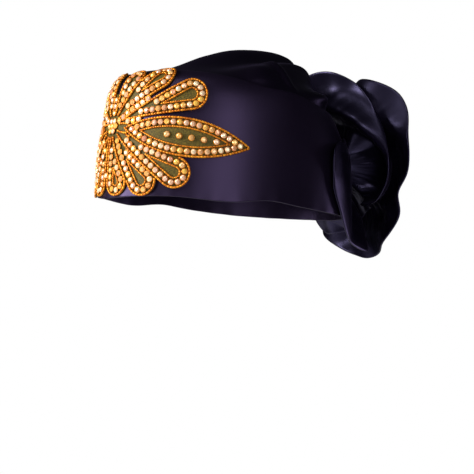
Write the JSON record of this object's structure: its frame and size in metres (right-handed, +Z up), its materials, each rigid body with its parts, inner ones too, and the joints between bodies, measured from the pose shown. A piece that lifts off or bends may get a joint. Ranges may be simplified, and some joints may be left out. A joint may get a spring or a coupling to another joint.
{
  "type": "ready-tied satin head tie",
  "caption": "Ready-tied satin head tie: a smooth wide band, a low gathered crown, a ruffled rosette at the back and a gold beaded leaf motif with stones on the front.",
  "frame": {"origin": "middle of the head opening, level with the band's lower edge on the forehead", "axes": "+Z up through the crown, -Y the way the wearer faces, +X to the wearer's left"},
  "size_m": [0.1598, 0.2532, 0.1576],
  "materials": {
    "band_satin": "dark navy satin drawn smooth, with a soft broad sheen",
    "crown_satin": "dark navy satin in loose gathers, sheen along the folds",
    "ruffle_satin": "dark navy satin in deep ruffles, bright along folds and hems",
    "beadwork": "gold beads and cord round an olive foil ground",
    "crystal": "small cut stones, champagne, foil backed"
  },
  "bodies": {
    "root": {"band": "band_satin", "crown": "crown_satin", "ruffle_collar": "ruffle_satin", "ruffle_middle": "ruffle_satin", "ruffle_rear": "ruffle_satin", "ruffle_heart": "ruffle_satin", "rosette_bud": "ruffle_satin", "applique": "beadwork", "leaf_stone_left_1": "crystal", "leaf_stone_left_2": "crystal", "leaf_stone_left_3": "crystal", "leaf_stone_left_4": "crystal", "leaf_stone_left_5": "crystal", "leaf_stone_right_1": "crystal", "leaf_stone_right_2": "crystal", "leaf_stone_right_3": "crystal", "leaf_stone_right_4": "crystal", "leaf_stone_right_5": "crystal"}
  },
  "joints": []
}
